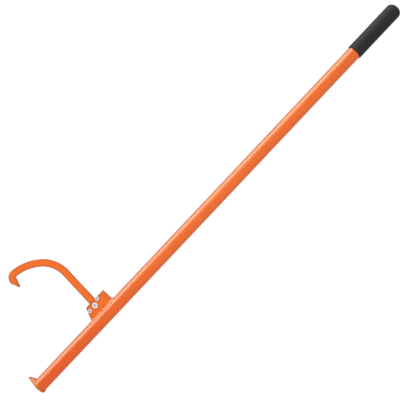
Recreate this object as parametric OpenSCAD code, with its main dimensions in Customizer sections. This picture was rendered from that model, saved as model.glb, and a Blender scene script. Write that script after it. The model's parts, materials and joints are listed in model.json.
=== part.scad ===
// Felling lever with a turning hook. It lies on its side: X runs along the tube from the toe plate
// to the grip, Y points from the tube towards the hook, and Z is up, along the pivot bolt.
// The origin is the centre of the toe plate's outer face, on the tube's axis. All sizes are in mm.

/* [Tube] */
// Whole lever, from the toe plate's outer face to the end of the grip
lever_len = 1200; // [900:10:1500]
// Outside diameter of the tube
tube_d = 32; // [26:0.5:36]
// Wall of the tube
tube_wall = 2.5; // [1.5:0.1:4]

/* [Toe plate] */
// Thickness of the toe plate
toe_t = 5; // [4:0.5:8]
// How far the plate stands out round the tube
toe_rim = 2; // [2:0.5:6]
// How far the lip reaches past the tube on the hook side
lip_reach = 18; // [15:0.5:40]
// Radius of the lip's blunt point
lip_r = 5; // [3:0.5:7]
// Thickness left at the lip's point
lip_t = 2; // [1:0.5:4]
// Length of the bevel that thins the lip
lip_bevel = 5; // [4:0.5:14]

/* [Grip] */
// Length of the rubber grip
grip_len = 142; // [100:1:200]
// Rubber round the tube
grip_wall = 2; // [1.5:0.5:6]
// Rubber beyond the tube's end
grip_end = 9; // [8:0.5:20]
// Radius of the grip's rounded end
grip_round = 13; // [5:1:14]

/* [Hook] */
// Width of the hook's flat bar
bar_w = 17; // [12:0.5:21]
// Thickness of the hook's flat bar
bar_t = 8; // [6:0.5:12]
// Lean of the straight shank towards the grip, in degrees
hook_lean = 3.8; // [0:0.1:8]
// Straight shank, from the pivot to the first bend
shank_len = 101; // [80:1:130]
// Radius of the shoulder bend, on the bar's centre line
shoulder_r = 72; // [50:1:90]
// Turn of the shoulder bend, in degrees
shoulder_turn = 52; // [40:1:60]
// Radius of the flatter crown bend, on the bar's centre line
crown_r = 110; // [80:1:140]
// Turn of the crown bend, in degrees
crown_turn = 34; // [20:0.5:45]
// Inside radius of the elbow above the claw
elbow_in = 3.5; // [2:0.5:8]
// Turn of the elbow, in degrees
elbow_turn = 97; // [80:0.5:105]
// Length of the claw, from the elbow to its point
claw_len = 20; // [14:0.5:35]
// Radius of the claw's point
claw_r = 1.5; // [1:0.1:3]
// Thickness left at the claw's point
claw_t = 4; // [2:0.5:6]

/* [Bracket] */
// Distance of the pivot from the toe plate's outer face
pivot_x = 227.8; // [180:0.1:320]
// Height of the pivot above the tube
pivot_up = 18.2; // [16:0.1:26]
// Thickness of the folded plate
ear_t = 4; // [3:0.5:5]
// Distance from the pivot to the outside of the fold
ear_back = 37; // [34:0.5:60]
// Slope of the ears' end on the toe side, in degrees from the tube
ear_slope = 66; // [55:1:90]
// Plate left above the hole of the stop bolt on the grip side
ear_land = 1; // [1:0.1:5]
// Plate left beside the hole of the stop bolt on the toe side
ear_lead = 3.1; // [1:0.1:6]
// Radius of the ears' upper corner on the toe side
ear_round = 3.5; // [1:0.5:4]

/* [Bolts] */
// Diameter of the pivot bolt
pivot_d = 8; // [6:0.5:10]
// Diameter of the two stop bolts
stop_d = 6; // [4:0.5:7]
// Gap between the shank and the stop bolt on the grip side, at rest
grip_stop_gap = 2.5; // [1:0.1:4]
// Place of that stop bolt along the shank, from the pivot
grip_stop_along = 8.4; // [7:0.1:10]
// Gap between the shank and the stop bolt on the toe side, at rest
toe_stop_gap = 5.9; // [4:0.1:9]
// Place of that stop bolt along the shank, from the pivot
toe_stop_along = -1.6; // [-3:0.1:1]
// Thread that stands out of the nuts. The lever lies on the pivot bolt's end and the toe plate's edge
bolt_proud = 1.7; // [0.5:0.1:3]

/* [Welds] */
// Height of the bead round the back of the toe plate
toe_bead = 1.8; // [1.5:0.1:2]
// Reach of the heavier bead along the lip
lip_bead = 12.5; // [4:0.5:13]
// Height of that bead up the tube
lip_bead_up = 10; // [5:0.5:12]
// Radius of the round section of the bracket's beads
foot_bead_r = 8.5; // [8:0.1:9]
// Depth of that section's centre behind the bracket's outer face
foot_bead_in = 4; // [3.5:0.1:4.5]
// Depth of that section's centre below the top of the tube
foot_bead_down = 4.2; // [3.5:0.1:4.5]

/* [Clearances] */
// Radial play of the hook on the pivot bolt
pivot_play = 0.05; // [0.02:0.01:0.1]
// Play on each side of the hook between the ears
side_play = 0.3; // [0.2:0.1:0.6]
// Gap left between curved faces that are fixed to each other
film = 0.05; // [0.02:0.01:0.1]

/* [Hidden] */
$fn = 120;

paint = "#f4752c";
rubber = "#2b2b2d";
zinc = "#c9ccd1";
nylon = "#e9ecef";

// Overlap of cutting solids past the faces that they cut
cut = 1;

tube_r = tube_d / 2;
toe_r = tube_r + toe_rim;
grip_r = tube_r + grip_wall;
tube_end = lever_len - grip_end;

// The lip's outline: a small circle at its point, joined to the round plate by two tangents
lip_tip = tube_r + lip_reach;
lip_c = lip_tip - lip_r;
lip_tangent = acos((toe_r - lip_r) / lip_c);

// The pivot and the bracket's stack across Z
pivot = [pivot_x, tube_r + pivot_up];
slot_half = bar_t / 2 + side_play;
ear_out = slot_half + ear_t;
fold_x = pivot_x + ear_back - ear_out;

// Bolt sizes follow the thread as on standard hexagon bolts and lock nuts
function across_flats(d) = ceil(1.6 * d);
function head_height(d) = 0.66 * d;
function nut_height(d) = d;
insert_wall = 1.1;
insert_share = 0.24;
collar_wall = 0.7;
collar_lip = 0.4;
hex_share = 0.72;
dish_share = 0.37;
dish_depth = 0.4;
function bolt_end(d) = ear_out + nut_height(d) + bolt_proud;

// The shank's direction, and points placed along it and beside it
shank_dir = 90 - hook_lean;
function ahead(p, dir, s) = p + s * [cos(dir), sin(dir)];
function beside(along, side) = ahead(ahead(pivot, shank_dir, along), shank_dir - 90, side);
stop_side = bar_w / 2 + stop_d / 2;
grip_stop = beside(grip_stop_along, stop_side + grip_stop_gap);
toe_stop = beside(toe_stop_along, -stop_side - toe_stop_gap);

// The ears' outline is set by the plate left beside the two stop bolts
stop_hole = stop_d / 2 + film;
ear_top = grip_stop.y + stop_hole + ear_land;
ear_edge = toe_stop.x - (stop_hole + ear_lead) / sin(ear_slope);
function ear_edge_at(y) = ear_edge + (y - toe_stop.y) / tan(ear_slope);

// The bracket's weld beads: one round section that runs along both ears and round the fold
bead_side = ear_out - foot_bead_in;
bead_up = tube_r - foot_bead_down;
foot_y = sqrt(tube_r * tube_r - ear_out * ear_out);
foot_x = ear_edge_at(foot_y);

// Walking along the hook's centre line: a bend to the left by t degrees
function bend_centre(p, dir, r) = p + r * [-sin(dir), cos(dir)];
function bend_end(p, dir, r, t) = bend_centre(p, dir, r) + r * [sin(dir + t), -cos(dir + t)];
elbow_r = elbow_in + bar_w / 2;
shoulder_at = ahead(pivot, shank_dir, shank_len);
crown_dir = shank_dir + shoulder_turn;
crown_at = bend_end(shoulder_at, shank_dir, shoulder_r, shoulder_turn);
elbow_dir = crown_dir + crown_turn;
elbow_at = bend_end(crown_at, crown_dir, crown_r, crown_turn);
claw_dir = elbow_dir + elbow_turn;
claw_at = bend_end(elbow_at, elbow_dir, elbow_r, elbow_turn);

// Stations on that line, each a point and a direction. A bend is walked in short, equal steps
function bend_stations(p, dir, r, turn, step) = let (steps = ceil(turn / step)) [
  for (i = [1 : steps]) let (t = turn * i / steps) [bend_end(p, dir, r, t), dir + t]
];
bar_line = concat(
  [[pivot, shank_dir], [shoulder_at, shank_dir]],
  bend_stations(shoulder_at, shank_dir, shoulder_r, shoulder_turn, 3),
  bend_stations(crown_at, crown_dir, crown_r, crown_turn, 3),
  bend_stations(elbow_at, elbow_dir, elbow_r, elbow_turn, 5)
);

// The claw narrows along two tangents to the small circle at its point
claw_c = ahead(claw_at, claw_dir, claw_len - claw_r);
claw_tangent = atan2(bar_w / 2, claw_r - claw_len) - acos(claw_r / norm([bar_w / 2, claw_len - claw_r]));

// A solid rod along X, for the tube and for what is coped to it
module rod_x(r, from, to) {
  translate([from, 0, 0]) rotate([0, 90, 0]) cylinder(r = r, h = to - from);
}

module tube() {
  color(paint) difference() {
    rod_x(tube_r, toe_t, tube_end);
    rod_x(tube_r - tube_wall, toe_t - cut, tube_end + cut);
  }
}

// Round plate drawn out to a lip, in the Y-Z plane
module toe_outline() {
  reach = [cos(lip_tangent), sin(lip_tangent)];
  circle(toe_r);
  translate([lip_c, 0]) circle(lip_r);
  polygon([
    [toe_r * reach.x, -toe_r * reach.y],
    [lip_c + lip_r * reach.x, -lip_r * reach.y],
    [lip_c + lip_r * reach.x, lip_r * reach.y],
    [toe_r * reach.x, toe_r * reach.y]
  ]);
}

module toe_prism(from, to) {
  translate([from, 0, 0]) rotate([90, 0, 90]) linear_extrude(to - from) toe_outline();
}

// The lip is thinned from the tube's side, so that its outer face stays flat
module toe_plate() {
  bevel_end = lip_tip + cut;
  thinning = (toe_t - lip_t) / lip_bevel;
  color(paint) difference() {
    toe_prism(0, toe_t);
    translate([0, 0, -toe_r]) linear_extrude(2 * toe_r) polygon([
      [toe_t, lip_tip - lip_bevel],
      [lip_t - thinning * cut, bevel_end],
      [toe_t + cut, bevel_end],
      [toe_t + cut, lip_tip - lip_bevel]
    ]);
  }
}

// Fillet bead all the way round the tube's foot
module toe_ring() {
  rotate([0, 90, 0]) rotate_extrude() polygon([
    [tube_r + film, toe_t],
    [tube_r + toe_bead, toe_t],
    [tube_r + film, toe_t + toe_bead]
  ]);
}

// Half space on the lip's side of the plane where the two toe beads meet
module lip_side() {
  meet = tube_r / 3;
  translate([0, meet, -2 * toe_r]) cube([4 * toe_r, 4 * toe_r, 4 * toe_r]);
}

module toe_back_weld() {
  color(paint) difference() {
    toe_ring();
    lip_side();
  }
}

// The bead on the lip is a leaning cone that dies out up the tube
module toe_lip_weld() {
  lean = 0.5;
  shift = lip_bead - lean;
  color(paint) difference() {
    intersection() {
      lip_side();
      union() {
        toe_ring();
        translate([toe_t, shift, 0]) rotate([0, 90, 0])
          cylinder(r1 = tube_r + lean, r2 = tube_r - shift, h = lip_bead_up);
      }
      toe_prism(toe_t, toe_t + lip_bead_up + cut);
    }
    rod_x(tube_r + film, 0, toe_t + lip_bead_up + 2 * cut);
  }
}

// Rubber sleeve with a closed, rounded end
module grip() {
  rim = 0.8;
  color(rubber) translate([lever_len - grip_len, 0, 0]) rotate([0, 90, 0]) rotate_extrude() difference() {
    intersection() {
      square([grip_r, grip_len]);
      union() {
        square([grip_r, grip_len - grip_round]);
        square([grip_r - grip_round, grip_len]);
        translate([grip_r - grip_round, grip_len - grip_round]) circle(grip_round);
      }
    }
    translate([-cut, -cut]) square([tube_r + film + cut, grip_len - grip_end + cut]);
    polygon([
      [grip_r - rim, -cut],
      [grip_r - rim, 0],
      [grip_r, rim],
      [grip_r + cut, rim],
      [grip_r + cut, -cut]
    ]);
  }
}

// Plate folded like a hairpin round the Y direction: two ears joined at the grip side
module fold_outline(r, from) {
  translate([from, -r]) square([fold_x - from, 2 * r]);
  translate([fold_x, 0]) circle(r);
}

module folded_plate() {
  rotate([-90, 0, 0]) linear_extrude(ear_top) difference() {
    fold_outline(ear_out, foot_x - cut);
    fold_outline(slot_half, foot_x - 2 * cut);
  }
}

// What is cut off the ears on the toe side: the sloping end and the rounded upper corner
module ear_end_cut() {
  low = [ear_edge_at(0), 0];
  corner = [ear_edge_at(ear_top), ear_top];
  from_corner = ear_round * tan(ear_slope / 2);
  round_at = [corner.x + from_corner, ear_top - ear_round];
  on_slope = ahead(corner, ear_slope + 180, from_corner);
  away = low.x - cut;
  translate([0, 0, -ear_out - cut]) linear_extrude(2 * (ear_out + cut)) {
    polygon([
      low - [0, cut],
      low,
      corner,
      corner + [0, cut],
      [away, ear_top + cut],
      [away, -cut]
    ]);
    difference() {
      polygon([corner, [round_at.x, ear_top], round_at, on_slope]);
      translate(round_at) circle(ear_round);
    }
  }
}

module bolt_hole(at, r) {
  translate([at.x, at.y, -ear_out - cut]) cylinder(r = r, h = 2 * (ear_out + cut));
}

module bracket() {
  color(paint) difference() {
    folded_plate();
    ear_end_cut();
    rod_x(tube_r + film, 0, pivot_x + 2 * ear_back);
    bolt_hole(pivot, pivot_d / 2 + film);
    bolt_hole(grip_stop, stop_hole);
    bolt_hole(toe_stop, stop_hole);
  }
}

// Bead along one ear's foot, with a rounded start past the ear's end
module foot_weld() {
  difference() {
    translate([foot_x, bead_up, bead_side]) {
      rotate([0, 90, 0]) cylinder(r = foot_bead_r, h = fold_x - foot_x + cut);
      sphere(foot_bead_r);
    }
    rod_x(tube_r + film, foot_x - 2 * foot_bead_r, fold_x + 2 * cut);
    translate([foot_x - 2 * foot_bead_r, -tube_d, -tube_d])
      cube([fold_x - foot_x + 4 * foot_bead_r, 3 * tube_d, tube_d + ear_out]);
    translate([fold_x, -tube_d, -tube_d]) cube(3 * tube_d);
  }
}

module upper_foot_weld() {
  color(paint) foot_weld();
}

module lower_foot_weld() {
  color(paint) mirror([0, 0, 1]) foot_weld();
}

// The same bead carried round the fold
module fold_weld() {
  color(paint) difference() {
    translate([fold_x, 0, 0]) rotate([-90, -90, 0]) rotate_extrude(angle = 180) intersection() {
      translate([bead_side, bead_up]) circle(foot_bead_r);
      translate([ear_out + film, 0]) square([foot_bead_r, tube_d]);
    }
    rod_x(tube_r + film, fold_x - cut, fold_x + tube_d);
  }
}

// The hook's outline in one walk: the eye, the outer side, the claw's point and back along the inner side
module bar_outline() {
  half = bar_w / 2;
  last = len(bar_line) - 1;
  polygon(concat(
    [for (a = [96 : 6 : 264]) ahead(pivot, shank_dir + a, half)],
    [for (at = bar_line) ahead(at[0], at[1] - 90, half)],
    [for (share = [-1 : 0.2 : 1.01]) ahead(claw_c, claw_dir + share * claw_tangent, claw_r)],
    [for (i = [0 : last]) ahead(bar_line[last - i][0], bar_line[last - i][1] + 90, half)]
  ));
}

// What is ground off one face of the claw, so that it gets thinner towards its point
module claw_grinding() {
  thinning = (bar_t - claw_t) / 2 / claw_len;
  translate(claw_at) rotate(claw_dir) translate([0, bar_w, 0]) rotate([90, 0, 0])
    linear_extrude(2 * bar_w) polygon([
      [0, bar_t / 2],
      [claw_len + cut, claw_t / 2 - thinning * cut],
      [claw_len + cut, bar_t],
      [0, bar_t]
    ]);
}

module hook() {
  color(paint) difference() {
    translate([0, 0, -bar_t / 2]) linear_extrude(bar_t) bar_outline();
    bolt_hole(pivot, pivot_d / 2 + pivot_play);
    claw_grinding();
    mirror([0, 0, 1]) claw_grinding();
  }
}

// Hexagon standing on z = 0, with its upper corners turned off at 30 degrees
module hexagon(d, h) {
  flat_r = across_flats(d) / 2;
  intersection() {
    cylinder(r = flat_r / cos(30), h = h, $fn = 6);
    cylinder(r1 = flat_r + h / tan(30), r2 = flat_r, h = h);
  }
}

// Hexagon bolt from above: the head lies on the upper ear, the end is below the lower nut
module bolt(at, d) {
  end = bolt_end(d);
  tip = 0.8;
  color(zinc) translate([at.x, at.y, 0]) {
    translate([0, 0, ear_out]) difference() {
      hexagon(d, head_height(d));
      translate([0, 0, head_height(d) - dish_depth]) cylinder(r = dish_share * d, h = dish_depth + cut);
    }
    translate([0, 0, tip - end]) cylinder(r = d / 2, h = ear_out + end - tip);
    translate([0, 0, -end]) cylinder(r1 = d / 2 - tip, r2 = d / 2, h = tip);
  }
}

// Lock nut under the lower ear, with a collar that holds the plastic insert
module nut(at, d) {
  collar_r = d / 2 + insert_wall + collar_wall;
  recess = insert_share * nut_height(d) + collar_lip;
  color(zinc) translate([at.x, at.y, -ear_out]) rotate([180, 0, 0]) difference() {
    union() {
      hexagon(d, hex_share * nut_height(d));
      cylinder(r = collar_r, h = nut_height(d) - collar_lip);
      translate([0, 0, nut_height(d) - collar_lip])
        cylinder(r1 = collar_r, r2 = collar_r - collar_lip, h = collar_lip);
    }
    translate([0, 0, -cut]) cylinder(r = d / 2 + film, h = nut_height(d) + 2 * cut);
    translate([0, 0, nut_height(d) - recess]) cylinder(r = d / 2 + insert_wall + film, h = recess + cut);
  }
}

module nut_insert(at, d) {
  h = insert_share * nut_height(d);
  color(nylon) translate([at.x, at.y, -ear_out - nut_height(d) + collar_lip]) difference() {
    cylinder(r = d / 2 + insert_wall, h = h);
    translate([0, 0, -cut]) cylinder(r = d / 2 + film, h = h + 2 * cut);
  }
}

tube();
toe_plate();
toe_back_weld();
toe_lip_weld();
grip();
bracket();
upper_foot_weld();
fold_weld();
lower_foot_weld();
hook();
bolt(pivot, pivot_d);  // pivot_bolt
nut(pivot, pivot_d);  // pivot_nut
nut_insert(pivot, pivot_d);  // pivot_nut_insert
bolt(toe_stop, stop_d);  // toe_stop_bolt
nut(toe_stop, stop_d);  // toe_stop_nut
nut_insert(toe_stop, stop_d);  // toe_stop_nut_insert
bolt(grip_stop, stop_d);  // grip_stop_bolt
nut(grip_stop, stop_d);  // grip_stop_nut
nut_insert(grip_stop, stop_d);  // grip_stop_nut_insert
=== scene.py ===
import json
import math

import bmesh
import bpy
from mathutils import Matrix, Vector


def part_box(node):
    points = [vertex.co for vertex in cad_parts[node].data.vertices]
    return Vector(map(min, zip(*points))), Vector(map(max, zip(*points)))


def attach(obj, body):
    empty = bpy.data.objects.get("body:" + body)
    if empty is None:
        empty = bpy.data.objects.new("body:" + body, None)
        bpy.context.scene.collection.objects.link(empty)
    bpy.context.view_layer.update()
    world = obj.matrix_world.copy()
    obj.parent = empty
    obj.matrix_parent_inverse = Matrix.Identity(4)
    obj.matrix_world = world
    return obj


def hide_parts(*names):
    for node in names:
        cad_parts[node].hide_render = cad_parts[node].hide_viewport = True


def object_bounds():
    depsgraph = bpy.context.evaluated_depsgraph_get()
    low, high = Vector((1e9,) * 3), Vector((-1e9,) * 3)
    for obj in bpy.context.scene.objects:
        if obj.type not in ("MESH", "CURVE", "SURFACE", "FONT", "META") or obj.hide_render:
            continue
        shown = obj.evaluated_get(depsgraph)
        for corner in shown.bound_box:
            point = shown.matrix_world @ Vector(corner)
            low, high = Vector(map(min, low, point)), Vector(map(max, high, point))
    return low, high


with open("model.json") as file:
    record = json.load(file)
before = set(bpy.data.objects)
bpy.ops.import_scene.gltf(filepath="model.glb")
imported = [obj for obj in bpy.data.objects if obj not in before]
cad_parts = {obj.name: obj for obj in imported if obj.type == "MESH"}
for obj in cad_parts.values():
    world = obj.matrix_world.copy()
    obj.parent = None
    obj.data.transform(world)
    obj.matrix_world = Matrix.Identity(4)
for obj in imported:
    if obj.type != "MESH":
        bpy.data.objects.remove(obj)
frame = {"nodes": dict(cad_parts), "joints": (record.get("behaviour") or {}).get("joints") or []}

# A felling lever, put together in the order in which it is made: tube, toe plate and its welds, bracket
# and its welds, hook, bolts with their lock nuts, and the rubber grip. All sizes are in metres.
cad_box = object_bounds()
mm = 0.001

# Tube
# The lever's body is a straight seamed steel tube, 32 mm across with a 2.5 mm wall, cut square at both
# ends. Like everything welded to it, it has a semi-gloss orange powder coat, baked on in one pass.
tube_low, tube_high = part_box("tube")
tube_r = tube_high.y
tube_wall = 2.5 * mm
tube_sides = 144
tube_lengths = 48
paint_orange = (0.89, 0.130, 0.004)
# Dark brown for the edge band: partly a thinner coat, partly painted shade where rounded edges turn from the
# light
thin_coat_and_edge_shade = (0.32, 0.086, 0.022)
coat_ior = 2.0
coat_gloss_tint = (1.0, 0.75, 0.52, 1.0)
cloud_dark = 0.965
cloud_light = 1.03
peel_deep = 0.005 * mm
edge_turned = 0.93
face_turned = 0.9998
side_turned = (0.05, 0.40)
edge_fade = 0.6
edge_dull = 0.8
# How much of the painted edge shade stays round the bracket's fold, which catches the light, and over how
# far
fold_shade_kept = 0.25
fold_run = 4 * mm
toe_tint = (0.97, 0.76, 0.80)
toe_tint_full = 0.08
toe_tint_gone = 0.40


def node(tree, kind, **settings):
    """One shader node with its settings and, by name, the values of its sockets."""
    made = tree.nodes.new(kind)
    for key, value in settings.items():
        if key in made.inputs:
            made.inputs[key].default_value = value
        else:
            setattr(made, key, value)
    return made


def noise(tree, place, per_metre, detail=2.0, rough=0.5):
    """Noise on the piece's own coordinates, with so many grains in a metre."""
    made = node(tree, "ShaderNodeTexNoise", Scale=per_metre, Detail=detail, Roughness=rough)
    tree.links.new(place, made.inputs["Vector"])
    return made.outputs["Fac"]


def spread(tree, value, low, high, to_low=0.0, to_high=1.0):
    """A value's stretch from low to high, laid out over another stretch and held at its ends."""
    made = node(tree, "ShaderNodeMapRange", clamp=True)
    tree.links.new(value, made.inputs["Value"])
    for key, number in zip(("From Min", "From Max", "To Min", "To Max"), (low, high, to_low, to_high)):
        made.inputs[key].default_value = number
    return made.outputs["Result"]


def times(tree, value, other):
    made = node(tree, "ShaderNodeMath", operation="MULTIPLY")
    for socket, source in zip(made.inputs, (value, other)):
        if isinstance(source, (int, float)):
            socket.default_value = source
        else:
            tree.links.new(source, socket)
    return made.outputs["Value"]


def tint(tree, share, first, second):
    """A colour that goes from the first to the second as the share goes from 0 to 1."""
    made = node(tree, "ShaderNodeMix", data_type="RGBA")
    tree.links.new(share, made.inputs["Factor"])
    for socket, source in zip((made.inputs["A"], made.inputs["B"]), (first, second)):
        if isinstance(source, tuple):
            socket.default_value = (*source, 1)
        else:
            tree.links.new(source, socket)
    return made.outputs["Result"]


def raised(tree, height, deep, below=None):
    """A bump as deep as given, in metres, on top of another bump."""
    made = node(tree, "ShaderNodeBump", Strength=1.0, Distance=deep)
    tree.links.new(height, made.inputs["Height"])
    if below is not None:
        tree.links.new(below, made.inputs["Normal"])
    return made.outputs["Normal"]


def new_finish(name):
    """A material with one surface shader, its node tree and the piece's own coordinates."""
    material = bpy.data.materials.new(name)
    material.use_nodes = True
    tree = material.node_tree
    surface = tree.nodes["Principled BSDF"]
    place = tree.nodes.new("ShaderNodeTexCoord").outputs["Object"]
    return material, tree, surface, place


# Mask for the dark edge band of the paint, which is partly a thin coat and partly painted shade on rounded
# edges.
def edge_of(tree, wide, flat):
    """1 along the edges of a plate whose faces look along the named axis, and 0 on its faces and sides."""
    rounded = node(tree, "ShaderNodeBevel", samples=8, Radius=wide)
    parts = node(tree, "ShaderNodeSeparateXYZ")
    tree.links.new(rounded.outputs["Normal"], parts.inputs["Vector"])
    facing = node(tree, "ShaderNodeMath", operation="ABSOLUTE")
    tree.links.new(parts.outputs[flat], facing.inputs[0])
    off_face = spread(tree, facing.outputs["Value"], edge_turned, face_turned, 1.0, 0.0)
    faded = node(tree, "ShaderNodeMath", operation="POWER")
    tree.links.new(off_face, faded.inputs[0])
    faded.inputs[1].default_value = edge_fade
    off_side = spread(tree, facing.outputs["Value"], *side_turned)
    return times(tree, faded.outputs["Value"], off_side)


def powder_coat(name, colour, gloss=0.40, waves=0.0, shaded_edge_width=0.0, flat="Z", bend_from=9.0):
    """Orange-peel powder coat with faint clouds in colour and gloss, thin and darker along edges, partly as
    painted shade.
    """
    material, tree, surface, place = new_finish(name)
    dark = tuple(cloud_dark * channel for channel in colour)
    light = tuple(min(1.0, cloud_light * channel) for channel in colour)
    clouds = spread(tree, noise(tree, place, per_metre=14, detail=3), 0.35, 0.65)
    grain = spread(tree, noise(tree, place, per_metre=2600, detail=1), 0.3, 0.7, 0.0, 0.35)
    shade = tint(tree, clouds, dark, light)
    shade = tint(tree, grain, shade, dark)
    # Dark band along edges: partly a thinner coat, partly painted shade on rounded edges that turn away from
    # the light.
    if shaded_edge_width:
        patches = noise(tree, place, per_metre=420, detail=3, rough=0.6)
        patches = spread(tree, patches, 0.40, 0.62, 0.75, 0.97)
        parts = node(tree, "ShaderNodeSeparateXYZ")
        tree.links.new(place, parts.inputs["Vector"])
        bent = spread(tree, parts.outputs["X"], bend_from, bend_from + fold_run, 1.0, fold_shade_kept)
        thin = times(tree, times(tree, edge_of(tree, shaded_edge_width, flat), patches), bent)
        shade = tint(tree, thin, shade, thin_coat_and_edge_shade)
    tree.links.new(shade, surface.inputs["Base Color"])
    dull = spread(tree, noise(tree, place, per_metre=55, detail=3), 0.3, 0.7, gloss - 0.04, gloss + 0.06)
    if shaded_edge_width:
        rub = node(tree, "ShaderNodeMath", operation="MAXIMUM")
        tree.links.new(dull, rub.inputs[0])
        tree.links.new(times(tree, thin, edge_dull), rub.inputs[1])
        dull = rub.outputs["Value"]
    tree.links.new(dull, surface.inputs["Roughness"])
    peel = raised(tree, noise(tree, place, per_metre=1100, detail=2, rough=0.45), peel_deep)
    if waves:
        peel = raised(tree, noise(tree, place, per_metre=95, detail=3), waves, peel)
    tree.links.new(peel, surface.inputs["Normal"])
    surface.inputs["IOR"].default_value = coat_ior
    surface.inputs["Specular Tint"].default_value = coat_gloss_tint
    return material


def keep_piece(name, mesh, finish, body, stands_for, sharp=35):
    """Puts a finished mesh on its body in place of the CAD nodes that it stands for."""
    mesh.materials.clear()
    mesh.materials.append(finish)
    mesh.shade_smooth()
    mesh.set_sharp_from_angle(angle=math.radians(sharp))
    piece = bpy.data.objects.new(name, mesh)
    bpy.context.scene.collection.objects.link(piece)
    piece.modifiers.new("flat faces stay flat", "WEIGHTED_NORMAL").keep_sharp = True
    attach(piece, body)
    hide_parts(*stands_for)
    return piece


def mesh_of(name, points, faces):
    mesh = bpy.data.meshes.new(name)
    mesh.from_pydata([tuple(p) for p in points], [], faces)
    shape = bmesh.new()
    shape.from_mesh(mesh)
    bmesh.ops.recalc_face_normals(shape, faces=shape.faces)
    shape.to_mesh(mesh)
    shape.free()
    return mesh


def turned(profile, sides, closed=True):
    """Points and faces of a profile of (along X, radius) pairs turned round the X axis."""
    points, rings, faces = [], [], []
    for along, radius in profile:
        count = sides if radius > 0 else 1
        rings.append(range(len(points), len(points) + count))
        for side in range(count):
            turn = math.tau * side / sides
            points.append((along, radius * math.cos(turn), radius * math.sin(turn)))
    pairs = list(zip(rings, rings[1:] + rings[:1])) if closed else list(zip(rings, rings[1:]))
    for one, two in pairs:
        for side in range(sides):
            after = (side + 1) % sides
            if len(one) == 1:
                faces.append((one[0], two[side], two[after]))
            elif len(two) == 1:
                faces.append((one[side], two[0], one[after]))
            else:
                faces.append((one[side], two[side], two[after], one[after]))
    return points, faces


def deeper_to_toe(material):
    """Makes the coat a shade darker and redder towards the toe."""
    tree = material.node_tree
    surface = tree.nodes["Principled BSDF"]
    colour = surface.inputs["Base Color"].links[0].from_socket
    parts = node(tree, "ShaderNodeSeparateXYZ")
    tree.links.new(tree.nodes.new("ShaderNodeTexCoord").outputs["Object"], parts.inputs["Vector"])
    deep = node(tree, "ShaderNodeMix", data_type="RGBA", blend_type="MULTIPLY")
    tree.links.new(spread(tree, parts.outputs["X"], toe_tint_full, toe_tint_gone, 1.0, 0.0), deep.inputs["Factor"])
    tree.links.new(colour, deep.inputs["A"])
    deep.inputs["B"].default_value = (*toe_tint, 1)
    tree.links.new(deep.outputs["Result"], surface.inputs["Base Color"])
    return material


tube_paint = deeper_to_toe(powder_coat("tube_paint", paint_orange))
steps_along = [tube_low.x + (tube_high.x - tube_low.x) * i / tube_lengths for i in range(tube_lengths + 1)]
tube_outline = [(x, tube_r) for x in steps_along] + [(x, tube_r - tube_wall) for x in reversed(steps_along)]
tube_mesh = mesh_of("steel_tube", *turned(tube_outline, tube_sides))
keep_piece("steel_tube", tube_mesh, tube_paint, "lever", ["tube"])

# Toe plate
# A 5 mm steel plate, cut round with a blunt lip on the hook's side, closes the tube's foot. The lip is
# ground thin from the tube's side, and the cut edges are slightly rounded before the paint.
toe_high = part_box("toe_plate")[1]
toe_t = toe_high.x
toe_r = toe_high.z
lip_ground_off = 1.6 * mm
lip_tip = toe_high.y - lip_ground_off
lip_r = 5 * mm
lip_t = 1.1 * mm
lip_bevel = 5.5 * mm
lip_steps = 18
round_steps = 90
toe_edge_r = 0.7 * mm
# Width of the dark edge band, partly thin coat and partly painted shade
toe_shaded_edge = 4.5 * mm
plate_orange = (1.0, 0.158, 0.006)
plate_gloss = 0.37


def rounded_mesh(name, points, faces, radius, steps=3, limit=40):
    """A solid with its sharp edges rounded."""
    shape = bmesh.new()
    corners = [shape.verts.new(p) for p in points]
    for face in faces:
        shape.faces.new([corners[i] for i in face])
    bmesh.ops.recalc_face_normals(shape, faces=shape.faces)
    sharp = [e for e in shape.edges if e.is_manifold and e.calc_face_angle() > math.radians(limit)]
    bmesh.ops.bevel(shape, geom=sharp, offset=radius, segments=steps, profile=0.5, affect="EDGES")
    mesh = bpy.data.meshes.new(name)
    shape.to_mesh(mesh)
    shape.free()
    return mesh


def arc(centre, radius, start, end, steps):
    """Points on an arc in a plane, both ends included, with its angles in degrees."""
    angles = [math.radians(start + (end - start) * i / steps) for i in range(steps + 1)]
    return [(centre[0] + radius * math.cos(a), centre[1] + radius * math.sin(a)) for a in angles]


lip_centre = lip_tip - lip_r
tangent = math.degrees(math.acos((toe_r - lip_r) / lip_centre))
bevel_y = lip_tip - lip_bevel
bevel_z = (toe_r - bevel_y * math.cos(math.radians(tangent))) / math.sin(math.radians(tangent))
lip_points = arc((lip_centre, 0), lip_r, -tangent, tangent, lip_steps)
round_points = arc((0, 0), toe_r, tangent, 360 - tangent, round_steps)
toe_outline = lip_points + [(bevel_y, bevel_z)] + round_points + [(bevel_y, -bevel_z)]
outer_face = [Vector((0, y, z)) for y, z in toe_outline]
thinning = (toe_t - lip_t) / lip_bevel
inner_face = [Vector((toe_t - thinning * max(0.0, y - bevel_y), y, z)) for y, z in toe_outline]
count = len(toe_outline)
lip_end = len(lip_points)
toe_faces = [tuple(range(count))]
toe_faces += [(i, (i + 1) % count, count + (i + 1) % count, count + i) for i in range(count)]
toe_faces.append((2 * count - 1, *range(count, count + lip_end + 1)))
toe_faces.append(tuple(range(count + lip_end, 2 * count)))
toe_mesh = rounded_mesh("toe_plate_steel", outer_face + inner_face, toe_faces, toe_edge_r)
plate_paint = powder_coat("plate_paint", plate_orange, plate_gloss,
                          waves=0.05 * mm, shaded_edge_width=toe_shaded_edge, flat="X")
keep_piece("toe_plate_steel", toe_mesh, plate_paint, "lever", ["toe_plate"])

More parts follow.
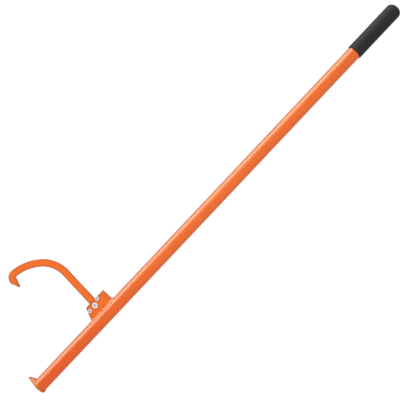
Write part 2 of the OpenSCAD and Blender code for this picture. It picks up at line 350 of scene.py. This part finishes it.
# Welds of the toe plate
# A small fillet bead runs round the back of the tube's foot, and a heavy one braces the lip against the
# tube. Both are welded in short steps, which show as ripples under the paint, and the ground has scuffed
# their coat to a duller orange.
bead_leg = 1.7 * mm
lip_leg = 10.0 * mm
lip_leg_up = 5.2 * mm
lip_swell = 1.5
lip_narrow = 1.22
bead_least = 0.02
ripple_step = 1.9 * mm
ripple_lag = 0.9
ripple_rise = 0.035 * mm
slow_sway = 3.7 * mm
quick_sway = 1.43 * mm
bead_meet = math.radians(71)
bead_clear = 0.2 * mm
bead_in = 0.1 * mm
sunk = 0.25 * mm
scuffed_orange = (0.72, 0.122, 0.012)


def weld_bead(name, stations, finish, stands_for, bulge=0.22, across=12, round_ends=(3 * mm, 3 * mm)):
    """A bead over the corner between two pieces. Each station holds a foot on the first piece, a foot on
    the second one, the corner under the bead and the direction that the bead bulges in."""
    middles = [(a + b) / 2 for a, b, c, out in stations]
    run = [0.0]
    for one, two in zip(middles, middles[1:]):
        run.append(run[-1] + (two - one).length)
    points, faces = [], []
    for (foot_a, foot_b, corner, out), done in zip(stations, run):
        size = 1.0
        for reach, left in zip(round_ends, (done, run[-1] - done)):
            if reach and left < reach:
                size = min(size, math.sqrt(max(0.0, 1 - (1 - left / reach) ** 2)))
        size = max(size, bead_least)
        foot_a = corner + (foot_a - corner) * size
        foot_b = corner + (foot_b - corner) * size
        width = (foot_b - foot_a).length
        for i in range(across + 1):
            share = i / across
            dome = 4 * share * (1 - share)
            lag = ripple_lag * ripple_step * dome
            wave = math.cos(math.tau * (done + lag) / ripple_step)
            uneven = 0.35 * math.sin(done / slow_sway) + 0.25 * math.sin(done / quick_sway + 2)
            rise = size * dome * (bulge * width + ripple_rise * (wave + uneven))
            points.append(foot_a + (foot_b - foot_a) * share + out * rise)
        points.append(corner - out * sunk)
    ring = across + 2
    for station in range(len(stations) - 1):
        for i in range(ring):
            one, two = station * ring + i, station * ring + (i + 1) % ring
            faces.append((one, two, two + ring, one + ring))
    faces.append(tuple(range(ring)))
    faces.append(tuple(range(len(points) - ring, len(points))))
    mesh = mesh_of(name, points, faces)
    return keep_piece(name, mesh, finish, "lever", stands_for, sharp=60)


def toe_station(turn):
    """The toe's bead at an angle from the lip, measured round the tube."""
    outward = Vector((0, math.cos(turn), math.sin(turn)))
    from_lip = math.acos(max(-1.0, min(1.0, outward.y)))
    heavy = max(0.0, math.cos(min(math.pi / 2, from_lip * lip_narrow))) ** lip_swell
    room = plate_reach(turn) - tube_r - bead_clear
    leg = min(bead_leg + (lip_leg - bead_leg) * heavy, room)
    leg_up = bead_leg + (lip_leg_up - bead_leg) * heavy
    corner = Vector((toe_t, 0, 0)) + outward * tube_r
    foot_plate = Vector((toe_t - bead_in, 0, 0)) + outward * (tube_r + leg)
    foot_tube = Vector((toe_t + leg_up, 0, 0)) + outward * (tube_r - bead_in)
    out = (outward * leg_up + Vector((leg, 0, 0))).normalized()
    return foot_plate, foot_tube, corner, out


def plate_reach(turn):
    """The toe plate's edge from the tube's axis, at an angle from the lip."""
    side = abs(math.degrees(math.atan2(math.sin(turn), math.cos(turn))))
    if side >= tangent:
        return toe_r
    edge = toe_r / math.cos(math.radians(tangent - side))
    near_tip = lip_centre * math.cos(math.radians(side))
    within = lip_r ** 2 - (lip_centre * math.sin(math.radians(side))) ** 2
    tip = near_tip + math.sqrt(within) if within > 0 else edge
    return min(edge, tip)


toe_weld_paint = powder_coat("toe_weld_paint", scuffed_orange, gloss=0.48)
bead_steps = 400
lip_bead_end = 1.06 * bead_meet
back_turns = [bead_meet + (math.tau - 2 * bead_meet) * i / bead_steps for i in range(bead_steps + 1)]
lip_turns = [-lip_bead_end + 2 * lip_bead_end * i / bead_steps for i in range(bead_steps + 1)]
back_stations = [toe_station(turn) for turn in back_turns]
lip_stations = [toe_station(turn) for turn in lip_turns]
weld_bead("toe_back_bead", back_stations, toe_weld_paint, ["toe_back_weld"])
weld_bead("toe_lip_bead", lip_stations, toe_weld_paint, ["toe_lip_weld"], bulge=0.07)

# Bracket
# The hook turns in a bracket made of one 4 mm plate, folded like a hairpin at the grip's side and coped
# to sit on the tube. Its three bolt holes go through both ears, and its edges are sheared and deburred.
bracket_low, bracket_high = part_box("bracket")
ear_out = bracket_high.z
ear_t = 4 * mm
slot_half = ear_out - ear_t
ear_top = bracket_high.y
ear_slope = math.radians(66)
ear_corner_r = 3.5 * mm
ear_corner_steps = 6
fold_x = bracket_high.x - ear_out
fold_steps = 32
plate_edge_r = 0.9 * mm
# Width of the dark edge band, partly thin coat and partly painted shade
plate_shaded_edge = 9.0 * mm
pivot_d = 8 * mm
stop_d = 6 * mm
hole_play = 0.1 * mm
hole_sides = 48
pivot = Vector(frame["joints"][0]["pos_m"])


def middle_of(name):
    low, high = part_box(name)
    return Vector(((low.x + high.x) / 2, (low.y + high.y) / 2, 0))


toe_stop = middle_of("toe_stop_nut")
grip_stop = middle_of("grip_stop_nut")
foot_y = math.sqrt(tube_r ** 2 - ear_out ** 2)
foot_x = bracket_low.x


def ear_end(y):
    """The ear's sloping end at a height above the tube's axis."""
    return foot_x + (y - foot_y) / math.tan(ear_slope)


def tube_top(z, under=sunk):
    """Height of the tube's surface at a distance from its middle, less a little so that a foot is in it."""
    return math.sqrt(tube_r ** 2 - z ** 2) - under


def ear_outline(z):
    """An ear's outline in X and Y from its foot, up the slope and along the top to the fold."""
    corner_x = ear_end(ear_top) + ear_corner_r * math.tan(ear_slope / 2)
    corner = (corner_x, ear_top - ear_corner_r)
    rounding = arc(corner, ear_corner_r, 90 + math.degrees(ear_slope), 90, ear_corner_steps)
    foot = tube_top(z)
    return [(ear_end(foot), foot), *rounding, (fold_x, ear_top), (fold_x, foot)]


skins = []
bracket_points = []
for depth in (ear_out, slot_half):
    skin = {"upper": [], "lower": [], "top": [], "foot": []}
    for side, key in ((1, "upper"), (-1, "lower")):
        for x, y in ear_outline(depth):
            skin[key].append(len(bracket_points))
            bracket_points.append((x, y, side * depth))
    for step in range(1, fold_steps):
        turn = math.pi * step / fold_steps
        x, z = fold_x + depth * math.sin(turn), depth * math.cos(turn)
        for key, y in (("top", ear_top), ("foot", tube_top(z))):
            skin[key].append(len(bracket_points))
            bracket_points.append((x, y, z))
    skin["top"] = [skin["upper"][-2], *skin["top"], skin["lower"][-2]]
    skin["foot"] = [skin["upper"][-1], *skin["foot"], skin["lower"][-1]]
    skins.append(skin)
bracket_faces = []
for skin in skins:
    bracket_faces += [tuple(skin["upper"]), tuple(skin["lower"])]
    for i in range(fold_steps):
        bracket_faces.append((skin["top"][i], skin["top"][i + 1], skin["foot"][i + 1], skin["foot"][i]))
outside, inside = skins
for key in ("top", "foot"):
    for i in range(fold_steps):
        a, b = outside[key], inside[key]
        bracket_faces.append((a[i], a[i + 1], b[i + 1], b[i]))
for key in ("upper", "lower"):
    a, b = outside[key], inside[key]
    for i in [*range(len(a) - 2), len(a) - 1]:
        after = (i + 1) % len(a)
        bracket_faces.append((a[i], a[after], b[after], b[i]))


def drilled(mesh, holes, depth):
    """The mesh with holes of (middle, radius) bored along Z."""
    solid = bpy.data.objects.new("to_drill", mesh)
    bpy.context.scene.collection.objects.link(solid)
    drills = []
    sides = hole_sides
    for at, radius in holes:
        rim = [(at.x + x, at.y + y) for x, y in arc((0, 0), radius, 0, 360 - 360 / sides, sides - 1)]
        points = [(x, y, z) for z in (-depth, depth) for x, y in rim]
        faces = [tuple(range(sides)), tuple(range(sides, 2 * sides))]
        faces += [(i, (i + 1) % sides, sides + (i + 1) % sides, sides + i) for i in range(sides)]
        drill = bpy.data.objects.new("drill", mesh_of("drill", points, faces))
        bpy.context.scene.collection.objects.link(drill)
        cut = solid.modifiers.new("hole", "BOOLEAN")
        cut.operation, cut.solver, cut.object = "DIFFERENCE", "EXACT", drill
        drills.append(drill)
    view = bpy.context.evaluated_depsgraph_get()
    made = bpy.data.meshes.new_from_object(solid.evaluated_get(view))
    for spare in [solid, *drills]:
        bpy.data.objects.remove(spare)
    return made


bracket_mesh = rounded_mesh("bracket_plate", bracket_points, bracket_faces, plate_edge_r)
bolt_places = [(pivot, pivot_d), (toe_stop, stop_d), (grip_stop, stop_d)]
bolt_holes = [(at, d / 2 + hole_play) for at, d in bolt_places]
bracket_mesh = drilled(bracket_mesh, bolt_holes, 2 * ear_out)
bracket_paint = powder_coat("bracket_paint", plate_orange, plate_gloss,
                            waves=0.04 * mm, shaded_edge_width=plate_shaded_edge, bend_from=fold_x)
keep_piece("bracket_plate", bracket_mesh, bracket_paint, "lever", ["bracket"])

# Welds of the bracket
# One bead along each ear's foot and one round the fold hold the bracket on the tube. The side beads start
# in a round lump past the ear's end, and the bead of the fold is laid last, over their ends.
foot_leg = 3.9 * mm
fold_leg = 2.6 * mm
bead_start = 2.5 * mm
bead_overlap = 4 * mm
foot_in = 0.15 * mm
tube_leg_share = 1.26
side_ends = (4 * mm, 2.5 * mm)
run_steps = 380
lap_steps = 20
turn_steps = 160


def foot_station(x, turn):
    """The bead beside the bracket at a place along the ear, or at an angle round the fold."""
    way = Vector((math.sin(turn), 0, math.cos(turn)))
    leg = foot_leg + (fold_leg - foot_leg) * math.sin(turn) ** 2
    axis = Vector((x, 0, 0))
    corner = axis + way * ear_out
    corner.y = tube_top(corner.z, 0)
    foot_ear = corner + Vector((0, leg, 0)) - way * foot_in
    reach = tube_leg_share * leg * math.cos(math.asin(min(1.0, abs(corner.z) / tube_r)))
    foot_tube = axis + way * (ear_out + reach)
    foot_tube.y = tube_top(foot_tube.z, foot_in)
    normal = Vector((0, corner.y, corner.z)).normalized()
    return foot_ear, foot_tube, corner, (way + normal).normalized()


def mirrored(station):
    return tuple(Vector((v.x, v.y, -v.z)) for v in station)


side_start = foot_x - bead_start
side_run = fold_x + bead_overlap / 2 - side_start
side_stations = [foot_station(side_start + side_run * i / run_steps, 0) for i in range(run_steps + 1)]
lower_stations = [mirrored(s) for s in side_stations]
fold_stations = [foot_station(fold_x - bead_overlap * (1 - i / lap_steps), 0) for i in range(lap_steps)]
fold_stations += [foot_station(fold_x, math.pi * i / turn_steps) for i in range(turn_steps + 1)]
fold_stations += [mirrored(s) for s in reversed(fold_stations[:lap_steps])]
weld_paint = powder_coat("weld_paint", paint_orange, gloss=0.38)
weld_bead("upper_foot_bead", side_stations, weld_paint, ["upper_foot_weld"],
          bulge=0.0, across=16, round_ends=side_ends)
weld_bead("lower_foot_bead", lower_stations, weld_paint, ["lower_foot_weld"],
          bulge=0.0, across=16, round_ends=side_ends)
weld_bead("fold_bead", fold_stations, weld_paint, ["fold_weld"], bulge=0.04, across=16)

# Hook
# A 17 by 8 mm flat bar, bent hot: a long shoulder, a flatter crown and a tight elbow, behind which the bar
# is ground down to a claw on all sides. Its rolled edges are round, and its eye turns on the pivot bolt.
bar_w = 17 * mm
bar_t = 8 * mm
bar_edge_r = 1.8 * mm
# Width of the dark edge band, partly thin coat and partly painted shade
bar_shaded_edge = 4.5 * mm
hook_lean = 3.8
eye_steps = 40
shank_len = 101 * mm
shoulder = {"radius": 72 * mm, "turn": 52, "steps": 26}
crown = {"radius": 110 * mm, "turn": 34, "steps": 18}
elbow = {"radius": 12 * mm, "turn": 97, "steps": 26}
claw_len = 20 * mm
claw_r = 1.5 * mm
claw_half_turn = 78
claw_steps = 14
claw_t = 4 * mm
hook_play = 0.05 * mm


def forward(place, way, far):
    return place[0] + far * math.cos(math.radians(way)), place[1] + far * math.sin(math.radians(way))


at, way = (pivot.x, pivot.y), 90 - hook_lean
hook_left = []
hook_right = []
eye = arc(at, bar_w / 2, way + 90, way + 270, eye_steps)
at = forward(at, way, shank_len)
for bend in (shoulder, crown, elbow):
    radius, turn, steps = bend["radius"], bend["turn"], bend["steps"]
    centre = forward(at, way + 90, radius)
    hook_left += arc(centre, radius - bar_w / 2, way - 90, way - 90 + turn, steps)
    hook_right += arc(centre, radius + bar_w / 2, way - 90, way - 90 + turn, steps)
    at, way = forward(centre, way - 90 + turn, radius), way + turn


def without_repeats(points):
    kept = points[:1]
    for point in points[1:]:
        if math.dist(point, kept[-1]) > 0.01 * mm:
            kept.append(point)
    return kept


hook_left, hook_right = without_repeats(hook_left), without_repeats(hook_right)
claw_start = at
claw_way = way
tip_centre = forward(at, way, claw_len - claw_r)
tip = arc(tip_centre, claw_r, way - claw_half_turn, way + claw_half_turn, claw_steps)
bar_outline = hook_right + tip + hook_left[::-1] + eye
tip_first = len(hook_right) - 1
tip_last = len(hook_right) + len(tip)
grinding = (bar_t - claw_t) / 2 / claw_len
ahead = Vector(forward((0, 0), claw_way, 1))
bar_halves = [bar_t / 2] * len(bar_outline)
for i in range(tip_first, tip_last + 1):
    past = (Vector(bar_outline[i]) - Vector(claw_start)).dot(ahead)
    bar_halves[i] -= grinding * max(0.0, past)
count = len(bar_outline)
bar_points = [(x, y, side * half) for side in (1, -1) for (x, y), half in zip(bar_outline, bar_halves)]
bar_faces = [(i, (i + 1) % count, count + (i + 1) % count, count + i) for i in range(count)]
for first in (0, count):
    bar_faces.append(tuple(first + i for i in range(tip_first, tip_last + 1)))
    bar_faces.append(tuple(first + i % count for i in range(tip_last, count + tip_first + 1)))
hook_mesh = rounded_mesh("hook_bar", bar_points, bar_faces, bar_edge_r, steps=4)
hook_mesh = drilled(hook_mesh, [(pivot, pivot_d / 2 + hook_play)], bar_t)
hook_paint = powder_coat("hook_paint", plate_orange, plate_gloss, waves=0.07 * mm, shaded_edge_width=bar_shaded_edge)
keep_piece("hook_bar", hook_mesh, hook_paint, "hook", ["hook"])

# Bolts
# The hook turns on an M8 bolt, and two M6 bolts stop it. All are zinc-plated hexagon bolts, put in from
# above, with a shallow forged dish in the head and a rolled thread towards the end. The pink of the zinc
# is painted reflection of the orange paint round the bolts, and the two small ones are yellower.
head_sides = 72
hexagon_share = 1.6
top_share = 0.86
dish_share = 0.44
dish_deep = 0.4 * mm
seat_share = 0.93
seat_high = 0.35 * mm
corner_off = 0.15 * mm
thread_pitch = {pivot_d: 1.25 * mm, stop_d: 1.0 * mm}
thread_share = 0.6
thread_flank = 2.6
thread_fit = 0.02 * mm
thread_slices = 10
thread_runout = 12
end_chamfer = 0.8 * mm
chamfer_slope = math.tan(math.radians(30))
# The pink in the zinc colour is painted reflection of the orange paint round the bolts
zinc_and_reflected_orange = (0.90, 0.81, 0.79)
warm_colour = (0.78, 0.72, 0.64)
dull_share = (0.86, 0.87, 0.90)
# Painted shade in the dish of each bolt head: how far the zinc is darkened and made bluish
dish_shade_share = (0.66, 0.73, 0.80)
zinc_metal = 0.3


def zinc_plate(name, colour, gloss, bolts):
    """Bright zinc on steel: cloudy and finely brushed by the barrel it was plated in, with painted shade,
    dull and bluish, in the dish of each head and the grooves of the thread."""
    material, tree, surface, place = new_finish(name)
    clouds = spread(tree, noise(tree, place, per_metre=380, detail=3, rough=0.6), 0.35, 0.65)
    dull = tuple(channel * share for channel, share in zip(colour, dull_share))
    dish_shade = tuple(channel * share for channel, share in zip(colour, dish_shade_share))
    shade = tint(tree, clouds, colour, dull)
    level = node(tree, "ShaderNodeVectorMath", operation="MULTIPLY")
    tree.links.new(place, level.inputs[0])
    level.inputs[1].default_value = (1, 1, 0)
    for at, d in bolts:
        away = node(tree, "ShaderNodeVectorMath", operation="DISTANCE")
        tree.links.new(level.outputs["Vector"], away.inputs[0])
        away.inputs[1].default_value = (at.x, at.y, 0)
        # Painted shade: darker and bluish within the dish's radius round each bolt's axis
        within = spread(tree, away.outputs["Value"], 0.75 * dish_share * d, dish_share * d, 1.0, 0.0)
        shade = tint(tree, within, shade, dish_shade)
    tree.links.new(shade, surface.inputs["Base Color"])
    brushed = noise(tree, place, per_metre=1900, detail=4, rough=0.7)
    rub = spread(tree, brushed, 0.3, 0.7, gloss - 0.08, gloss + 0.1)
    tree.links.new(rub, surface.inputs["Roughness"])
    knocks = raised(tree, noise(tree, place, per_metre=900, detail=3, rough=0.6), 0.02 * mm)
    tree.links.new(knocks, surface.inputs["Normal"])
    surface.inputs["Metallic"].default_value = zinc_metal
    return material


def across_flats(d):
    """The hexagon's width for a thread, rounded up to a whole millimetre."""
    return math.ceil(hexagon_share * d / mm) * mm


def hexagon_reach(turn, d):
    """From the axis to the side of the hexagon, at an angle."""
    return across_flats(d) / 2 / math.cos((turn + math.pi / 6) % (math.pi / 3) - math.pi / 6)


def ringed(rings, closed=False):
    """Points and faces between rings, each a function from an angle to (radius, height)."""
    points, faces = [], []
    for ring in rings:
        for side in range(head_sides):
            turn = math.tau * side / head_sides
            radius, height = ring(turn)
            points.append((radius * math.cos(turn), radius * math.sin(turn), height))
    last = len(rings) if closed else len(rings) - 1
    for number in range(last):
        one, two = number * head_sides, (number + 1) % len(rings) * head_sides
        for side in range(head_sides):
            after = (side + 1) % head_sides
            faces.append((one + side, one + after, two + after, two + side))
    if not closed:
        faces.append(tuple(range(head_sides)))
        faces.append(tuple(range((len(rings) - 1) * head_sides, len(rings) * head_sides)))
    return points, faces


def round_ring(radius, height):
    return lambda turn: (radius, height)


def bolt_piece(node_name, at, d, finish):
    """A hexagon bolt with its head on the upper ear, standing for its CAD node."""
    low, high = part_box(node_name)
    flat = across_flats(d) / 2
    pitch = thread_pitch[d]
    deep = thread_share * pitch

    def side_top(turn):
        reach = hexagon_reach(turn, d)
        return reach, high.z - (reach - top_share * flat) * chamfer_slope

    def side_foot(turn):
        return hexagon_reach(turn, d) - corner_off, ear_out + seat_high

    def side_low(turn):
        return hexagon_reach(turn, d), ear_out + seat_high + corner_off

    dish_r = dish_share * d
    rings = [round_ring(dish_r * share, high.z - dish_deep) for share in (0.02, 0.5, 0.85)]
    rings += [round_ring(dish_r + 0.1 * mm, high.z - 0.1 * mm), round_ring(dish_r + 0.35 * mm, high.z)]
    rings += [round_ring(top_share * flat * share, high.z) for share in (0.8, 0.985)]
    rings += [round_ring(top_share * flat + 0.02 * mm, high.z - 0.05 * mm), side_top, side_low, side_foot]
    rings += [round_ring(seat_share * flat, ear_out + seat_high), round_ring(seat_share * flat, ear_out)]
    rings += [round_ring(d / 2 + 0.02 * mm, ear_out), round_ring(d / 2 - thread_fit, ear_out - 0.1 * mm)]
    thread_top = slot_half if d == stop_d else 0.0
    steps = int((thread_top - low.z) / (pitch / thread_slices))
    for step in range(steps + 1):
        height = thread_top + (low.z - thread_top) * step / steps
        fade = min(1.0, step / thread_runout)
        chamfer = max(0.0, end_chamfer - (height - low.z))

        def thread(turn, height=height, fade=fade, chamfer=chamfer):
            wound = (height / pitch - turn / math.tau) % 1.0
            groove = max(0.0, 1 - abs(wound - 0.5) * thread_flank)
            return min(d / 2 - thread_fit - deep * groove * fade, d / 2 - chamfer), height

        rings.append(thread)
    mesh = mesh_of(node_name + "_zinc", *ringed(rings))
    mesh.transform(Matrix.Translation((at.x, at.y, 0)))
    return keep_piece(node_name + "_zinc", mesh, finish, "lever", [node_name], sharp=28)


zinc = zinc_plate("zinc", zinc_and_reflected_orange, gloss=0.52, bolts=bolt_places[:1])
warm_zinc = zinc_plate("warm_zinc", warm_colour, gloss=0.55, bolts=bolt_places[1:])
bolt_piece("pivot_bolt", pivot, pivot_d, zinc)
bolt_piece("toe_stop_bolt", toe_stop, stop_d, warm_zinc)
bolt_piece("grip_stop_bolt", grip_stop, stop_d, warm_zinc)

# Lock nuts
# Under the lower ear each bolt has a zinc-plated lock nut, whose collar is rolled over a white nylon ring.
# The ring grips the thread, so that the hook's pivot can stay free without coming loose.
nut_hex_share = 0.72
insert_share = 0.24
insert_wall = 1.1 * mm
collar_wall = 0.7 * mm
collar_lip = 0.4 * mm
nut_play = 0.06 * mm
nylon_dark = (0.74, 0.76, 0.78)
nylon_pale = (0.84, 0.85, 0.86)


def nut_piece(node_name, at, d, finish):
    """A lock nut below the lower ear, standing for its CAD node."""
    nut_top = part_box(node_name)[1].z
    flat = across_flats(d) / 2
    hex_h = nut_hex_share * d
    bore = d / 2 + nut_play
    recess = insert_share * d + collar_lip
    recess_r = d / 2 + insert_wall + nut_play
    collar = d / 2 + insert_wall + collar_wall

    def chamfer_at(height, way):
        def ring(turn):
            reach = hexagon_reach(turn, d)
            return reach, height - way * (reach - top_share * flat) * chamfer_slope
        return ring

    rings = [round_ring(bore, 0.0), round_ring(bore + 0.3 * mm, 0.0), round_ring(top_share * flat, 0.0)]
    rings += [chamfer_at(0.0, -1), chamfer_at(hex_h, 1), round_ring(top_share * flat, hex_h)]
    rings += [round_ring(collar + 0.25 * mm, hex_h + 0.02 * mm), round_ring(collar, hex_h + 0.25 * mm)]
    rings += [round_ring(collar, d - 0.6 * mm), round_ring(collar - 0.1 * mm, d - 0.25 * mm)]
    rings += [round_ring(collar - 0.35 * mm, d - 0.05 * mm), round_ring(collar - 0.6 * mm, d)]
    rings += [round_ring(recess_r, d), round_ring(recess_r, d - recess)]
    rings += [round_ring(bore, d - recess)]
    mesh = mesh_of(node_name + "_zinc", *ringed(rings, closed=True))
    mesh.transform(Matrix.Translation((at.x, at.y, nut_top)) @ Matrix.Rotation(math.pi, 4, "X"))
    return keep_piece(node_name + "_zinc", mesh, finish, "lever", [node_name], sharp=28)


def nylon_ring(name):
    """Milky nylon with a soft gloss and fine turning marks."""
    material, tree, surface, place = new_finish(name)
    milk = spread(tree, noise(tree, place, per_metre=700), 0.3, 0.7)
    tree.links.new(tint(tree, milk, nylon_dark, nylon_pale), surface.inputs["Base Color"])
    tree.links.new(spread(tree, milk, 0, 1, 0.38, 0.5), surface.inputs["Roughness"])
    turning_marks = raised(tree, noise(tree, place, per_metre=2400), 0.01 * mm)
    tree.links.new(turning_marks, surface.inputs["Normal"])
    return material


nylon = nylon_ring("nylon")
for nut_name, (at, d) in zip(("pivot_nut", "toe_stop_nut", "grip_stop_nut"), bolt_places):
    nut_piece(nut_name, at, d, zinc)
    ring = frame["nodes"][nut_name + "_insert"]
    ring.data.materials.clear()
    ring.data.materials.append(nylon)

# Grip
# A moulded sleeve of black rubber with a closed, rounded end is pushed over the tube. Its skin is matt and
# finely grained, and its mouth is a plain square edge with the burr taken off.
grip_low, grip_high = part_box("grip")
grip_r = grip_high.z
grip_round = 13 * mm
grip_sides = 128
grip_lengths = 24
dome_steps = 20
mouth_steps = 5
grip_stretch = 0.02 * mm
burr = 0.3 * mm
bore_end = tube_high.x
rim_r = 0.8 * mm
rubber_black = (0.020, 0.020, 0.021)
hand_rubbed = 1.45
rubber_gloss = 0.17


def moulded_rubber(name, colour):
    """Matt black rubber with a leathery grain, a little paler where hands and boxes have rubbed it."""
    material, tree, surface, place = new_finish(name)
    rubbed = spread(tree, noise(tree, place, per_metre=32, detail=4, rough=0.6), 0.42, 0.68)
    pale = tuple(hand_rubbed * channel for channel in colour)
    tree.links.new(tint(tree, rubbed, colour, pale), surface.inputs["Base Color"])
    tree.links.new(spread(tree, rubbed, 0, 1, 0.58, 0.72), surface.inputs["Roughness"])
    surface.inputs["Specular IOR Level"].default_value = rubber_gloss
    cells = node(tree, "ShaderNodeTexVoronoi", Scale=850.0)
    tree.links.new(place, cells.inputs["Vector"])
    grain = raised(tree, cells.outputs["Distance"], 0.06 * mm)
    grain = raised(tree, noise(tree, place, per_metre=2300), 0.03 * mm, grain)
    tree.links.new(grain, surface.inputs["Normal"])
    return material


dome = arc((grip_high.x - grip_round, grip_r - grip_round), grip_round, 90, 0, dome_steps)
mouth = arc((grip_low.x + rim_r, grip_r - rim_r), rim_r, 180, 90, mouth_steps)
inner_mouth = [(grip_low.x + burr, tube_r + grip_stretch), (grip_low.x, tube_r + burr)]
wall_len = grip_high.x - grip_low.x - grip_round
walls = [(grip_low.x + wall_len * i / grip_lengths, grip_r) for i in range(1, grip_lengths)]
grip_outline = [(bore_end, 0.0), (bore_end, tube_r + grip_stretch), *inner_mouth]
grip_outline += [*mouth, *walls, *dome, (grip_high.x, 0.0)]
grip_mesh = mesh_of("rubber_grip", *turned(grip_outline, grip_sides, closed=False))
rubber = moulded_rubber("rubber", rubber_black)
keep_piece("rubber_grip", grip_mesh, rubber, "lever", ["grip"], sharp=50)

# Studio
# The lever lies on its side on a plain white floor, seen from straight above. A white room that is brighter
# towards its walls lights it, with two broad panels overhead and a low strip that shows only in its gloss.
# The floor is white to the camera and still takes the lever's shadow; in gloss it shows a painted pool of
# light, brightest on the hook's side.
floor_z = cad_box[0].z - 0.05 * mm
floor_half = 6.0
camera_at = Vector((0.5680, 0.0253, 1.76))
up = Vector((0.72740, 0.68622, 0.0)).normalized()
right = Vector((up.y, -up.x, 0.0))
sensor = 36.0
focal = 68.84
room_low = 0.74
room_high = 0.25
room_back = 0.90
room_left = 0.60
left_from = -0.35
left_to = 0.15
floor_grey = (0.25, 0.25, 0.25)
floor_grey_seen = (0.14, 0.14, 0.14)
floor_glow = 0.92
# A painted pool of light on the floor, seen only in gloss: its glow behind the lever, on the hook's side,
# and its reach
shine_behind = 0.5
shine_before = 1.0
shine_reach = 0.12
lever_middle = (0.60, 0.0, 0)
key_at = (0.60, 0.81, 1.83)
key_power = 18.4
fill_at = (0.60, -1.00, 1.73)
fill_power = 18.7
strip_at = (0.70, 2.00, 0.475)
strip_power = 130.0


def seen(tree):
    """1 for what the camera sees itself and 0 for all other light."""
    return tree.nodes.new("ShaderNodeLightPath").outputs["Is Camera Ray"]


floor_corners = [(x * floor_half, y * floor_half, floor_z) for x, y in ((-1, -1), (1, -1), (1, 1), (-1, 1))]
floor_mesh = mesh_of("floor", floor_corners, [(0, 1, 2, 3)])
floor = bpy.data.objects.new("floor", floor_mesh)
bpy.context.scene.collection.objects.link(floor)
floor_white = bpy.data.materials.new("floor_white")
floor_white.use_nodes = True
tree = floor_white.node_tree
paper = tree.nodes["Principled BSDF"]
tree.links.new(tint(tree, seen(tree), floor_grey, floor_grey_seen), paper.inputs["Base Color"])
paper.inputs["Roughness"].default_value = 1.0
paper.inputs["Specular IOR Level"].default_value = 0.0
paper.inputs["Emission Color"].default_value = (1, 1, 1, 1)
glow = times(tree, seen(tree), floor_glow)
# Painted light: in gloss the floor glows, more towards the hook's side
shine = node(tree, "ShaderNodeMix", data_type="FLOAT")
tree.links.new(tree.nodes.new("ShaderNodeLightPath").outputs["Is Glossy Ray"], shine.inputs["Factor"])
tree.links.new(glow, shine.inputs["A"])
place = tree.nodes.new("ShaderNodeTexCoord").outputs["Object"]
apart = node(tree, "ShaderNodeSeparateXYZ")
tree.links.new(place, apart.inputs["Vector"])
glossy_light_pool = spread(tree, apart.outputs["Y"], 0.0, shine_reach, shine_behind, shine_before)
tree.links.new(glossy_light_pool, shine.inputs["B"])
tree.links.new(shine.outputs["Result"], paper.inputs["Emission Strength"])
floor_mesh.materials.append(floor_white)

world = bpy.data.worlds.new("white_room")
bpy.context.scene.world = world
world.use_nodes = True
tree = world.node_tree
background = tree.nodes["Background"]
background.inputs["Color"].default_value = (1, 1, 1, 1)
apart = node(tree, "ShaderNodeSeparateXYZ")
tree.links.new(tree.nodes.new("ShaderNodeTexCoord").outputs["Generated"], apart.inputs["Vector"])
room = spread(tree, apart.outputs["Z"], 0.0, 1.0, room_low, room_high)
room = times(tree, room, spread(tree, apart.outputs["Y"], -1.0, 1.0, room_back, 1.0))
room = times(tree, room, spread(tree, apart.outputs["X"], left_from, left_to, room_left, 1.0))
strength = node(tree, "ShaderNodeMix", data_type="FLOAT")
tree.links.new(seen(tree), strength.inputs["Factor"])
tree.links.new(room, strength.inputs["A"])
strength.inputs["B"].default_value = 1.0
tree.links.new(strength.outputs["Result"], background.inputs["Strength"])


def panel(name, place, target, width, height, power):
    """A rectangular soft light at a place, turned to a target, with its width level."""
    lamp = bpy.data.lights.new(name, "AREA")
    lamp.shape = "RECTANGLE"
    lamp.size, lamp.size_y = width, height
    lamp.energy = power
    made = bpy.data.objects.new(name, lamp)
    made.location = place
    made.rotation_euler = (Vector(target) - Vector(place)).to_track_quat("-Z", "Y").to_euler()
    bpy.context.scene.collection.objects.link(made)
    return made


key = panel("key", key_at, lever_middle, width=1.2, height=0.8, power=key_power)
fill = panel("fill", fill_at, lever_middle, width=2.4, height=1.6, power=fill_power)
strip = panel("strip", strip_at, lever_middle, width=5.0, height=1.05, power=strip_power)
key.visible_glossy = False
fill.visible_glossy = False
strip.visible_diffuse = False

lens = bpy.data.cameras.new("camera")
lens.sensor_width = sensor
lens.lens = focal
camera = bpy.data.objects.new("camera", lens)
looking = Matrix((right, up, right.cross(up))).transposed().to_4x4()
camera.matrix_world = Matrix.Translation(camera_at) @ looking
bpy.context.scene.collection.objects.link(camera)
bpy.context.scene.camera = camera
bpy.context.scene.view_settings.view_transform = "Standard"
